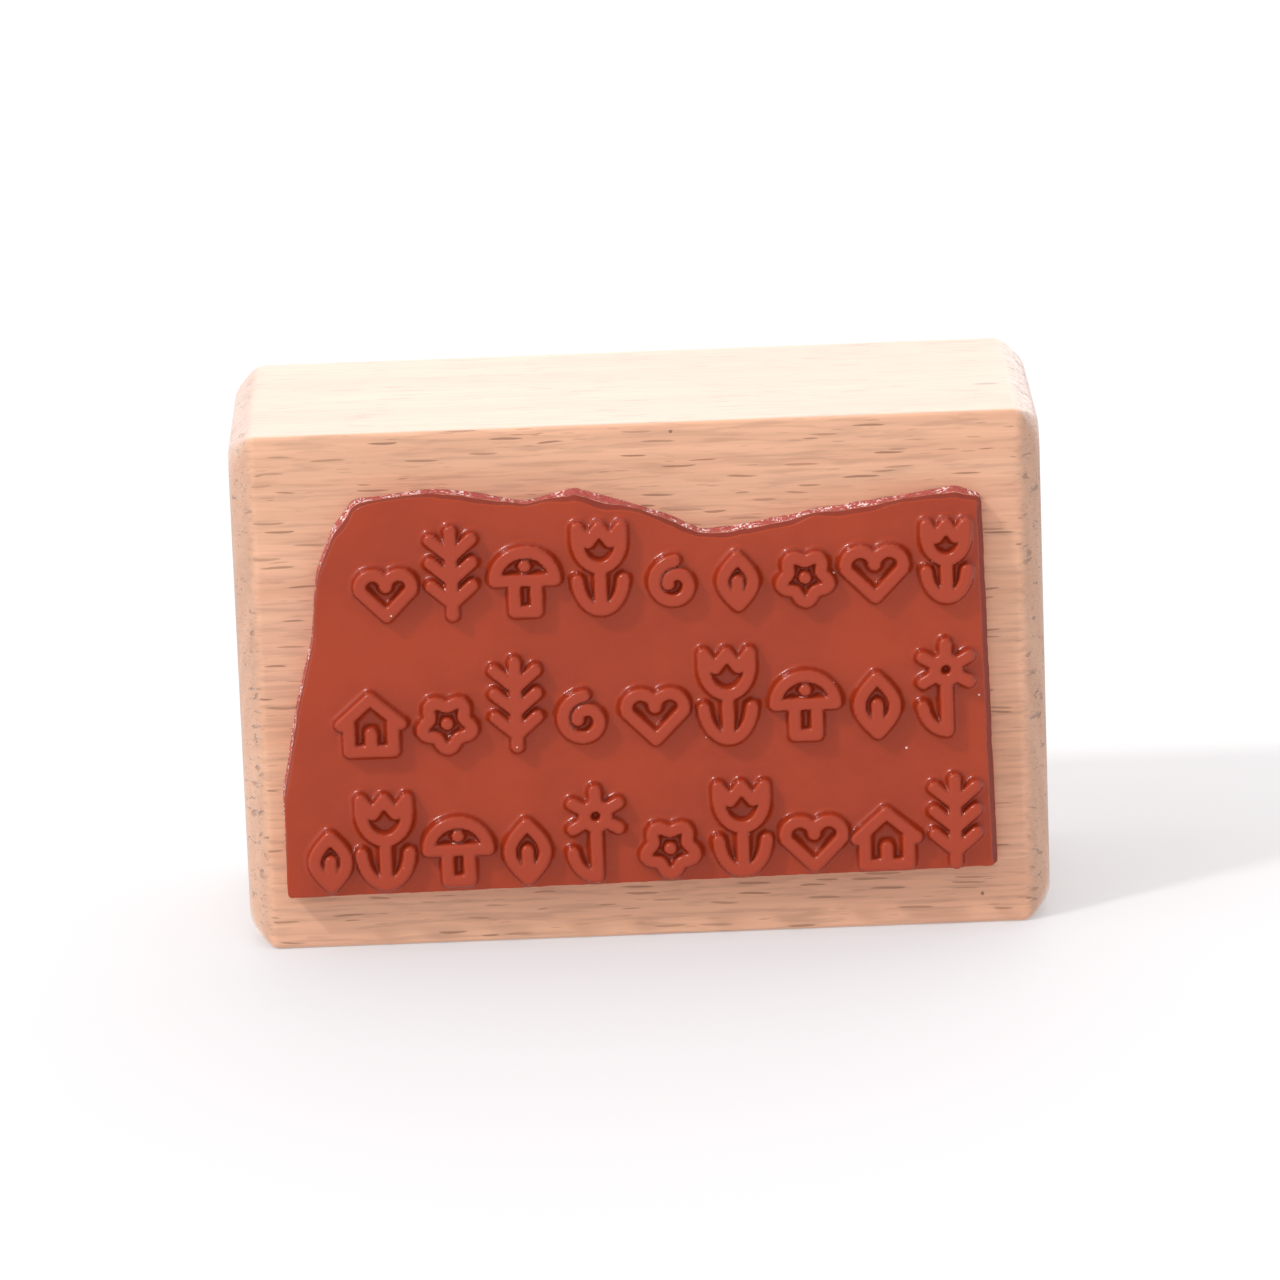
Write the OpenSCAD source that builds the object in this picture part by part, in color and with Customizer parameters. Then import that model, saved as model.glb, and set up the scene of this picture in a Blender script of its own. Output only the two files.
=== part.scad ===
// Wood-mounted rubber stamp: a beech block, a cushion, a hand-cut rubber die and an index print.
// The block stands on a long side, with the origin at the middle of that side.
// X runs along the grain, the printing face looks towards -Y and +Z is up.

/* [Wood block] */
// Length of the block along its grain
block_length = 70; // [56:1:100]
// Height of the block as it stands on its long side
block_height = 46; // [38:1:66]
// Depth from the printing side to the index side
block_depth = 28; // [14:1:45]
// Bevel along the four edges round each end
end_bevel = 1.7; // [0.5:0.1:4]

/* [Die and cushion] */
// Clear wood left of the die, seen from the printing side
die_left_margin = 3.4; // [2:0.1:8]
// Clear wood right of the die, seen from the printing side
die_right_margin = 4.6; // [2:0.1:8]
// Clear wood below the die
die_bottom_margin = 5.1; // [2:0.1:8]
// Clear wood above the highest point of the die
die_top_margin = 5; // [2:0.1:8]
// Thickness of the rubber sheet behind the relief
sheet_thickness = 1; // [0.6:0.1:2.5]
// Height of the relief above its sheet
relief_height = 1; // [0.4:0.1:1.6]
// Thickness of the soft cushion
cushion_thickness = 1; // [0.6:0.1:4]
// Thickness of each of the two adhesive films
film_thickness = 0.1; // [0.05:0.05:0.3]

/* [Artwork] */
// Width of every drawn line
stroke_width = 0.9; // [0.5:0.05:1]
// Rubber left uncut beside the ends of the rows
art_side_margin = 1; // [0.6:0.1:3]
// Rubber left uncut below the lowest row
art_foot_margin = 0.9; // [0.6:0.1:2]
// Thickness of the printed ink
ink_thickness = 0.05; // [0.03:0.01:0.1]

/* [Hidden] */

// Where the layers of the printing side start, measured out from the middle of the block
film_start = block_depth / 2;
cushion_start = film_start + film_thickness;
die_film_start = cushion_start + cushion_thickness;
sheet_start = die_film_start + film_thickness;

// The die's box on the face of the block
die_left = -block_length / 2 + die_left_margin;
die_right = block_length / 2 - die_right_margin;
die_width = die_right - die_left;
die_height = block_height - die_bottom_margin - die_top_margin;

// The hand-cut outline, anticlockwise from the lower left corner, in shares of the die's box
DIE_OUTLINE = [
    [0, 0], [1, 0.015], [0.99, 0.935], [0.955, 0.96], [0.875, 0.94], [0.775, 0.92],
    [0.66, 0.885], [0.6, 0.875], [0.555, 0.915], [0.48, 0.96], [0.425, 0.99], [0.355, 0.96],
    [0.28, 0.99], [0.225, 1], [0.115, 0.98], [0.085, 0.91], [0.06, 0.805], [0.05, 0.64],
    [0.025, 0.48], [0, 0.26]
];

// The artwork is drawn on a grid of 60 by 12 units for each row. It reads from +X to -X,
// which is left to right on the index side and mirrored on the printing side.
ROW_COUNT = 3;
ROW_UNITS = [60, 12];
unit_x = (die_width - 2 * art_side_margin) / ROW_UNITS[0];
unit_z = die_height / ROW_COUNT / ROW_UNITS[1];
// Width of the thin centre line that each drawn line is grown from
HAIR = 0.04;

// Each row lists what is drawn, where its middle stands on the grid, and its scale
BOTTOM_ROW = [
    ["fern", 2.7, 1], ["house", 8.7, 1], ["heart", 15, 1], ["tulip", 21.2, 1],
    ["blossom", 27.5, 1], ["daisy", 33.9, 1], ["leaf", 39.9, 1], ["mushroom", 45.9, 1],
    ["tulip", 52.2, 1], ["leaf", 57, 0.9]
];
MIDDLE_ROW = [
    ["daisy", 3.2, 1], ["leaf", 9.2, 1], ["mushroom", 15.4, 1], ["tulip", 22.1, 1],
    ["heart", 28.4, 1], ["spiral", 34.5, 1], ["fern", 40.4, 1], ["blossom", 46.4, 1],
    ["house", 53, 1]
];
TOP_ROW = [
    ["tulip", 2.9, 0.84], ["heart", 9.1, 1], ["blossom", 15.1, 0.95], ["leaf", 20.9, 0.85],
    ["spiral", 26.3, 0.95], ["tulip", 32.7, 0.95], ["mushroom", 39.2, 1], ["fern", 45.5, 0.98],
    ["heart", 51.2, 0.9]
];

// Points along part of an ellipse
function arc(centre, radii, from, to, steps) = [
    for (i = [0:steps])
        let (a = from + (to - from) * i / steps)
        centre + [radii[0] * cos(a), radii[1] * sin(a)]
];

// The same points seen in a mirror that stands on the middle of a motif
function flipped(points) = [for (p = points) [-p[0], p[1]]];

// Points along a curl that winds outwards round its centre
function curl(centre, inner, outer, turns, steps) = [
    for (i = [0:steps])
        let (a = 360 * turns * i / steps, r = inner + (outer - inner) * i / steps)
        centre + r * [cos(a), sin(a)]
];

// One side of a leaf, a half wave between its two tips
function leaf_side(foot, length, bulge, steps) = [
    for (i = [0:steps]) [bulge * sin(180 * i / steps), foot + length * i / steps]
];

// A closed line round a centre, waving in and out a number of times
function waving_ring(centre, radius, depth, waves, steps) = [
    for (i = [0:steps])
        let (a = 360 * i / steps, r = radius + depth * cos(waves * a + 90))
        centre + r * [cos(a), sin(a)]
];

// A line too short to see, which grows into a round dot
function dot(centre) = [centre, centre + [0, 0.05]];

// The lines of a motif, drawn round the middle of its foot
function motif_lines(kind) =
    kind == "tulip" ? [
        [[0, 0.4], [0, 4.4]],
        arc([0, 3.5], [2.1, 3.1], 270, 355, 6),
        arc([0, 3.5], [2.1, 3.1], 270, 185, 6),
        concat([[-2, 8.1]], arc([0, 7], [2, 2.6], 180, 360, 12), [[2, 8.1]]),
        [[-2, 8.1], [-1, 6.8], [0, 8.1], [1, 6.8], [2, 8.1]]
    ] :
    kind == "daisy" ? concat(
        [
            [[0, 0.4], [0, 4.9]],
            arc([0, 3.1], [2.1, 2.7], 270, 350, 6),
            waving_ring([0, 5.9], 0.95, 0, 1, 16)
        ],
        [for (a = [30:60:330]) [for (r = [1.2, 2.3]) [0, 5.9] + r * [cos(a), sin(a)]]]
    ) :
    kind == "heart" ? [
        concat([[0, 0.6]], arc([-1.25, 3.5], [1.25, 1.2], 200, 0, 10)),
        concat([[0, 0.6]], flipped(arc([-1.25, 3.5], [1.25, 1.2], 200, 0, 10)))
    ] :
    kind == "fern" ? concat(
        [[[0, 0.4], [0, 8]]],
        [for (z = [1.5:2.1:5.7]) [[-1.8, z + 1.6], [0, z], [1.8, z + 1.6]]]
    ) :
    kind == "mushroom" ? [
        concat([[-2.6, 3.3]], arc([0, 3.3], [2.6, 2.5], 0, 180, 14)),
        [[-0.95, 3.3], [-0.95, 0.5], [0.95, 0.5], [0.95, 3.3]],
        dot([0, 4.55])
    ] :
    kind == "house" ? [
        [[-1.9, 3.2], [-1.9, 0.5], [1.9, 0.5], [1.9, 3.2]],
        [[-2.6, 2.9], [0, 5.2], [2.6, 2.9]],
        [[0, 0.5], [0, 2.1]]
    ] :
    kind == "leaf" ? [
        leaf_side(0.4, 5, 1.55, 10),
        flipped(leaf_side(0.4, 5, 1.55, 10)),
        [[0, 0.4], [0, 3]]
    ] :
    kind == "blossom" ? [waving_ring([0, 2.7], 1.9, 0.35, 5, 40), dot([0, 2.7])] :
    kind == "spiral" ? [curl([0, 2.6], 0.6, 2.2, 1.25, 24)] :
    [];

// Where a motif's own point lies on the face of the block
function placed(row, middle, scale, p) = [
    die_right - art_side_margin - unit_x * (middle + scale * p[0]),
    die_bottom_margin + art_foot_margin + unit_z * (row * ROW_UNITS[1] + scale * p[1])
];

function unit(v) = v / norm(v);
function turned(v) = [-v[1], v[0]];

// How far a thin line's edge stands off its point i
function offset_at(points, i) =
    let (
        before = unit(points[max(i, 1)] - points[max(i, 1) - 1]),
        after = unit(points[min(i, len(points) - 2) + 1] - points[min(i, len(points) - 2)])
    )
    unit(turned(before) + turned(after)) * HAIR / 2;

// A thin line along its points
module thin_line(points) {
    last = len(points) - 1;
    polygon(concat(
        [for (i = [0:last]) points[i] + offset_at(points, i)],
        [for (i = [last:-1:0]) points[i] - offset_at(points, i)]
    ));
}

// The lines of one row, counted from the bottom
module thin_row(row, motifs) {
    for (m = motifs, line = motif_lines(m[0]))
        thin_line([for (p = line) placed(row, m[1], m[2], p)]);
}

// The lines of all three rows
module thin_artwork() {
    thin_row(0, BOTTOM_ROW);
    thin_row(1, MIDDLE_ROW);
    thin_row(2, TOP_ROW);
}

// Thin lines grown to the drawn width, with round ends
module drawn() {
    offset(r = (stroke_width - HAIR) / 2, $fn = 16)
        children();
}

// The hand-cut outline that the die and everything behind it share
module die_outline() {
    polygon([
        for (p = DIE_OUTLINE)
            [die_left + die_width * p[0], die_bottom_margin + die_height * p[1]]
    ]);
}

// A flat layer that starts at a distance from the middle of the block and grows towards -Y
module front_layer(start, thickness) {
    translate([0, -start, 0])
        rotate([90, 0, 0])
        linear_extrude(height = thickness)
        children();
}

// The outline of the block with its end bevels, in a plane along its length
module bevelled_outline(width) {
    x = block_length / 2;
    y = width / 2;
    polygon([
        [-x, -y + end_bevel], [-x + end_bevel, -y], [x - end_bevel, -y], [x, -y + end_bevel],
        [x, y - end_bevel], [x - end_bevel, y], [-x + end_bevel, y], [-x, y - end_bevel]
    ]);
}

// Solid beech, bevelled round both ends
module wood_block() {
    color("burlywood")
    intersection() {
        linear_extrude(height = block_height)
            bevelled_outline(block_depth);
        translate([0, block_depth / 2, block_height / 2])
            rotate([90, 0, 0])
            linear_extrude(height = block_depth)
            bevelled_outline(block_height);
    }
}

// Film that holds the cushion to the block
module block_adhesive() {
    color("ivory")
        front_layer(film_start, film_thickness)
        die_outline();
}

// Soft cushion that lets the die follow the paper
module cushion() {
    color("lightcoral")
        front_layer(cushion_start, cushion_thickness)
        die_outline();
}

// Film that holds the die to the cushion
module die_adhesive() {
    color("ivory")
        front_layer(die_film_start, film_thickness)
        die_outline();
}

// Moulded rubber: a sheet with the mirrored artwork standing up from it
module rubber_die() {
    color("firebrick")
    union() {
        front_layer(sheet_start, sheet_thickness)
            die_outline();
        front_layer(sheet_start + sheet_thickness / 2, sheet_thickness / 2 + relief_height)
            drawn()
            thin_artwork();
    }
}

// One row of ink on the index side
module index_row() {
    color("black")
        translate([0, block_depth / 2 + ink_thickness, 0])
        rotate([90, 0, 0])
        linear_extrude(height = ink_thickness)
        drawn()
        children();
}

module index_print_top() {
    index_row()
        thin_row(2, TOP_ROW);
}

module index_print_middle() {
    index_row()
        thin_row(1, MIDDLE_ROW);
}

module index_print_bottom() {
    index_row()
        thin_row(0, BOTTOM_ROW);
}

wood_block();
block_adhesive();
cushion();
die_adhesive();
rubber_die();
index_print_top();
index_print_middle();
index_print_bottom();
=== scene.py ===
"""Looks of a wood-mounted rubber stamp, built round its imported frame.

The stamp stands on a long side of its beech block. The printing face, with a hand-cut rubber
die on a soft cushion, looks towards -Y, and the index print is on the +Y face.
All lengths are in metres.
"""

import logging
import math
from dataclasses import dataclass, field
from enum import Enum

import bmesh
import bpy
import numpy as np
from mathutils import Matrix, Vector, noise


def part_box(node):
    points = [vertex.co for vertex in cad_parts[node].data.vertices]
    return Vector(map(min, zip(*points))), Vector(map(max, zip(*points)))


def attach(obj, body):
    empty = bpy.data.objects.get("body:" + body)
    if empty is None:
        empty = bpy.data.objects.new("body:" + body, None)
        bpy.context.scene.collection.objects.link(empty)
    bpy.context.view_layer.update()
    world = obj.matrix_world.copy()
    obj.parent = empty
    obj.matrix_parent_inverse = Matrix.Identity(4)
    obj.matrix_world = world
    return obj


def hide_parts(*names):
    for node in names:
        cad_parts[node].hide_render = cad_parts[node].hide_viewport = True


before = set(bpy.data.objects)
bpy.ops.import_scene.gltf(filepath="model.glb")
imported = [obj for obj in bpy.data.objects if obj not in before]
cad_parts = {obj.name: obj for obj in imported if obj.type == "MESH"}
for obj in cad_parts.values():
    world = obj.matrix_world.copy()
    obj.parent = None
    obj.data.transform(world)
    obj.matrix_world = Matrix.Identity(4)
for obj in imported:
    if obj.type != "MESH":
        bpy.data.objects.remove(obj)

MM = 0.001
ROOT = "root"
INDEX_ROWS = ("index_print_top", "index_print_middle", "index_print_bottom")
log = logging.getLogger("stamp")

Point = tuple[float, float]
Triple = tuple[float, float, float]
Colour = Triple
Face = tuple[int, ...]
NOWHERE: Triple = (0.0, 0.0, 0.0)


class Blend(Enum):
    """How one colour is laid over another."""

    MIX = "MIX"
    MULTIPLY = "MULTIPLY"


class Facing(Enum):
    """The two broad faces of the block, by the sign of their outward normal along Y."""

    PRINTING = -1
    INDEX = 1


# ---------------------------------------------------------------------------------------------
# Node trees
# ---------------------------------------------------------------------------------------------


@dataclass(frozen=True)
class Value:
    """A number, vector or colour that comes out of a node, with maths as operators."""

    tree: "Tree"
    socket: bpy.types.NodeSocket

    def __add__(self, other: "Value | float") -> "Value":
        """Sum."""
        return self.tree.maths("ADD", self, other)

    def __radd__(self, other: float) -> "Value":
        """Sum with a number on the left."""
        return self.tree.maths("ADD", other, self)

    def __sub__(self, other: "Value | float") -> "Value":
        """Difference."""
        return self.tree.maths("SUBTRACT", self, other)

    def __rsub__(self, other: float) -> "Value":
        """Difference with a number on the left."""
        return self.tree.maths("SUBTRACT", other, self)

    def __mul__(self, other: "Value | float") -> "Value":
        """Product."""
        return self.tree.maths("MULTIPLY", self, other)

    def __rmul__(self, other: float) -> "Value":
        """Product with a number on the left."""
        return self.tree.maths("MULTIPLY", other, self)

    def __abs__(self) -> "Value":
        """Size without sign."""
        return self.tree.maths("ABSOLUTE", self)

    def most(self, other: "Value | float") -> "Value":
        """The larger of two values."""
        return self.tree.maths("MAXIMUM", self, other)

    def rising(self, low: float, high: float) -> "Value":
        """A smooth step.

        Args:
            low: Where the step starts, at 0.
            high: Where it ends, at 1. A high below low makes a falling step.

        Returns:
            The step's height, from 0 to 1.
        """
        if high < low:
            return 1.0 - self.rising(high, low)
        step = self.tree.node(
            "ShaderNodeMapRange",
            {"interpolation_type": "SMOOTHSTEP"},
            {"Value": self, "From Min": low, "From Max": high},
        )
        return Value(self.tree, step.outputs["Result"])


Input = Value | bpy.types.NodeSocket | float | int | str | tuple | bpy.types.ID


@dataclass
class Tree:
    """Adds nodes to one shader or geometry tree."""

    nodes: bpy.types.NodeTree

    def node(
        self,
        kind: str,
        settings: dict[str, object] | None = None,
        inputs: dict[str | int, Input] | None = None,
    ) -> bpy.types.Node:
        """Adds one node.

        Args:
            kind: The node's type.
            settings: Its own settings, which are set before its sockets.
            inputs: Values or links for its sockets, by identifier, name or number.

        Returns:
            The node.
        """
        made = self.nodes.nodes.new(kind)
        for name, setting in (settings or {}).items():
            setattr(made, name, setting)
        for key, given in (inputs or {}).items():
            self._feed(self._socket(made, key), given)
        return made

    def maths(self, operation: str, *operands: Input) -> Value:
        """Adds a Math node and returns its result."""
        made = self.node("ShaderNodeMath", {"operation": operation}, dict(enumerate(operands)))
        return Value(self, made.outputs[0])

    def out(
        self,
        kind: str,
        output: str | int,
        settings: dict[str, object] | None = None,
        inputs: dict[str | int, Input] | None = None,
    ) -> Value:
        """Adds a node and returns one of its outputs."""
        return Value(self, self.node(kind, settings, inputs).outputs[output])

    @staticmethod
    def _socket(made: bpy.types.Node, key: str | int) -> bpy.types.NodeSocket:
        """Finds an input of a node.

        Args:
            made: The node.
            key: The socket's identifier, name or number.

        Returns:
            The socket.
        """
        if isinstance(key, int):
            return made.inputs[key]
        for socket in made.inputs:
            if socket.identifier == key:
                return socket
        return made.inputs[key]

    def _feed(self, socket: bpy.types.NodeSocket, given: Input) -> None:
        """Links a socket, or sets its own value.

        Args:
            socket: The input that is fed.
            given: A value or socket to link, or a plain setting.
        """
        if isinstance(given, Value):
            self.nodes.links.new(given.socket, socket)
        elif isinstance(given, bpy.types.NodeSocket):
            self.nodes.links.new(given, socket)
        elif socket.type == "RGBA" and len(given) == 3:
            socket.default_value = (*given, 1.0)
        else:
            socket.default_value = given


@dataclass
class Shader(Tree):
    """A material's tree, with the patterns that the finishes share."""

    material: bpy.types.Material

    @classmethod
    def begin(cls, name: str) -> "Shader":
        """Starts a material with an empty tree.

        Args:
            name: The material's name.

        Returns:
            The tree to build on.
        """
        material = bpy.data.materials.new(name)
        material.use_nodes = True
        material.node_tree.nodes.clear()
        return cls(material.node_tree, material)

    def place(self) -> Value:
        """The point's own place on the object."""
        return self.out("ShaderNodeTexCoord", "Object")

    def axes(self) -> list[Value]:
        """The three parts of the point's place."""
        split = self.node("ShaderNodeSeparateXYZ", None, {0: self.place()})
        return [Value(self, output) for output in split.outputs]

    def stretched(self, scale: Triple, turn: Triple = NOWHERE, shift: Triple = NOWHERE) -> Value:
        """The point's place, scaled along each axis.

        Args:
            scale: Cells to a metre along X, Y and Z.
            turn: Turn of the pattern in radians, made before it is scaled.
            shift: A move that keeps two patterns apart.

        Returns:
            The scaled place.
        """
        place = self.place()
        if any(turn):
            place = self.out("ShaderNodeMapping", 0, None, {"Vector": place, "Rotation": turn})
        inputs = {"Vector": place, "Scale": scale, "Location": shift}
        return self.out("ShaderNodeMapping", 0, None, inputs)

    def cells(self, where: Value) -> tuple[Value, list[Value]]:
        """Scattered cells.

        Args:
            where: The scaled place.

        Returns:
            The distance to the nearest cell's middle, and three random numbers for that cell.
        """
        made = self.node("ShaderNodeTexVoronoi", {"feature": "F1"}, {"Vector": where, "Scale": 1.0})
        split = self.node("ShaderNodeSeparateColor", None, {0: made.outputs["Color"]})
        return Value(self, made.outputs["Distance"]), [Value(self, output) for output in split.outputs]

    def mixed(self, share: Input, low: Input, high: Input, blend: Blend = Blend.MIX) -> Value:
        """Lays one colour over another.

        Args:
            share: How much of the second colour shows, from 0 to 1.
            low: The colour underneath.
            high: The colour on top.
            blend: How the two are combined.

        Returns:
            The resulting colour.
        """
        settings = {"data_type": "RGBA", "blend_type": blend.value}
        inputs = {"Factor_Float": share, "A_Color": low, "B_Color": high}
        return Value(self, self.node("ShaderNodeMix", settings, inputs).outputs[2])

    def bumped(
        self, height: Value, distance: float, strength: float = 1.0, under: Value | None = None
    ) -> Value:
        """A normal that follows small heights.

        Args:
            height: Height of the detail, from 0 to 1.
            distance: Real height that 1 stands for.
            strength: Share of the effect.
            under: The normal of coarser detail below it.

        Returns:
            The normal.
        """
        inputs = {"Height": height, "Distance": distance, "Strength": strength}
        if under is not None:
            inputs["Normal"] = under
        return self.out("ShaderNodeBump", 0, None, inputs)

    def finish(self, **sockets: Input) -> bpy.types.Material:
        """Ends the tree in one surface shader.

        Args:
            sockets: Values or links for the shader, with spaces written as underscores.

        Returns:
            The material.
        """
        inputs = {name.replace("_", " "): given for name, given in sockets.items()}
        surface = self.node("ShaderNodeBsdfPrincipled", None, inputs)
        self.node("ShaderNodeOutputMaterial", None, {"Surface": surface.outputs[0]})
        return self.material


@dataclass
class Grower(Tree):
    """A Geometry Nodes tree with named inputs, applied once to a mesh."""

    given: bpy.types.Node
    made_from: dict[str, object] = field(default_factory=dict)

    @classmethod
    def begin(cls, name: str) -> "Grower":
        """Starts a tree that takes and gives geometry.

        Args:
            name: The tree's name.

        Returns:
            The tree to build on.
        """
        nodes = bpy.data.node_groups.new(name, "GeometryNodeTree")
        nodes.interface.new_socket("Geometry", in_out="INPUT", socket_type="NodeSocketGeometry")
        nodes.interface.new_socket("Geometry", in_out="OUTPUT", socket_type="NodeSocketGeometry")
        return cls(nodes, nodes.nodes.new("NodeGroupInput"))

    def base(self) -> Value:
        """The mesh that the tree is run on."""
        return Value(self, self.given.outputs["Geometry"])

    def named(self, name: str, kind: str, given: object) -> Value:
        """Adds a named input.

        Args:
            name: The input's name.
            kind: The type of its socket.
            given: The value that the modifier gives it.

        Returns:
            The input, to build on.
        """
        self.nodes.interface.new_socket(name, in_out="INPUT", socket_type=kind)
        self.made_from[name] = given
        return Value(self, self.given.outputs[name])

    def amount(self, name: str, given: float) -> Value:
        """Adds a named input that holds a plain number."""
        return self.named(name, "NodeSocketFloat", given)

    def grow(self, piece: bpy.types.Object, shape: Value, material: bpy.types.Material) -> None:
        """Ends the tree, runs it on a piece and keeps the result as that piece's plain mesh.

        Args:
            piece: The piece whose mesh the tree takes.
            shape: The geometry that the tree makes.
            material: The material of the result.
        """
        whole = self.out("GeometryNodeRealizeInstances", 0, None, {"Geometry": shape})
        dressed = self.out("GeometryNodeSetMaterial", 0, None, {"Geometry": whole, "Material": material})
        self.node("NodeGroupOutput", None, {"Geometry": dressed})
        modifier = piece.modifiers.new(self.nodes.name, "NODES")
        modifier.node_group = self.nodes
        for item in self.nodes.interface.items_tree:
            if item.item_type == "SOCKET" and item.in_out == "INPUT" and item.name in self.made_from:
                modifier[item.identifier] = self.made_from[item.name]
        piece.update_tag()
        graph = bpy.context.evaluated_depsgraph_get()
        grown = bpy.data.meshes.new_from_object(piece.evaluated_get(graph), depsgraph=graph)
        piece.modifiers.clear()
        piece.data = grown


# ---------------------------------------------------------------------------------------------
# Finishes
# ---------------------------------------------------------------------------------------------


@dataclass(frozen=True)
class Pattern:
    """Soft noise, whose cells to a metre, span and turn suit one mark of a finish.

    With a span, the noise is raised to a mask that is 0 at the span's start and 1 at its end.
    """

    cells: Triple
    detail: float = 2.0
    distortion: float = 0.0
    span: tuple[float, float] | None = None
    shift: Triple = NOWHERE
    turn: Triple = NOWHERE

    def on(self, shader: Shader) -> Value:
        """Adds the pattern.

        Args:
            shader: The tree that it is added to.

        Returns:
            The noise round 0.5, or the mask from 0 to 1.
        """
        inputs = {
            "Vector": shader.stretched(self.cells, self.turn, self.shift),
            "Scale": 1.0,
            "Detail": self.detail,
            "Distortion": self.distortion,
        }
        soft = shader.out("ShaderNodeTexNoise", 0, None, inputs)
        return soft.rising(*self.span) if self.span else soft


@dataclass(frozen=True)
class Flecks:
    """Short dark rays along the grain, spaced by length and thickness along and across it."""

    length: float
    thickness: float
    kept: float
    seed: float
    onset: float = 0.02
    sway: float = 1.1
    least_reach: float = 0.12
    more_reach: float = 0.16
    soft_edge: float = 0.06
    faintest: float = 0.45

    def on(self, shader: Shader) -> tuple[Value, Value]:
        """Adds the flecks. Only the kept share of their places holds one.

        Args:
            shader: The tree that they are added to.

        Returns:
            Where a fleck shows, from 0 to 1, and how dark each one is.
        """
        across = 1 / self.thickness
        where = shader.stretched((1 / self.length, across, across), shift=(self.seed,) * 3)
        drift = Pattern((220.0, 350.0, 350.0), detail=1.0, shift=(self.seed, 0.0, 0.0)).on(shader)
        bend = (drift - 0.5) * self.sway
        bent = shader.node("ShaderNodeCombineXYZ", None, {1: bend, 2: bend})
        moved = {0: where, 1: bent.outputs[0]}
        where = shader.out("ShaderNodeVectorMath", 0, {"operation": "ADD"}, moved)
        distance, (chosen, size, depth) = shader.cells(where)
        reach = self.least_reach + size * self.more_reach
        inside = (reach - distance).rising(0.0, self.soft_edge)
        empty = 1.0 - self.kept
        shown = inside * chosen.rising(empty, empty + self.onset)
        return shown, self.faintest + depth * (1.0 - self.faintest)


@dataclass(frozen=True)
class Spot:
    """A single small dark mark, as a soft ellipsoid with its own middle and half-sizes."""

    centre: Triple
    reach: Triple
    core: float = 0.6
    rim: float = 1.1

    def on(self, shader: Shader) -> Value:
        """Adds the mark.

        Args:
            shader: The tree that it is added to.

        Returns:
            Where it shows, from 0 to 1.
        """
        scale = tuple(1 / size for size in self.reach)
        moved = tuple(-place / size for place, size in zip(self.centre, self.reach))
        where = shader.stretched(scale, shift=moved)
        away = shader.out("ShaderNodeVectorMath", "Value", {"operation": "LENGTH"}, {0: where})
        return away.rising(self.rim, self.core)


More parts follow.
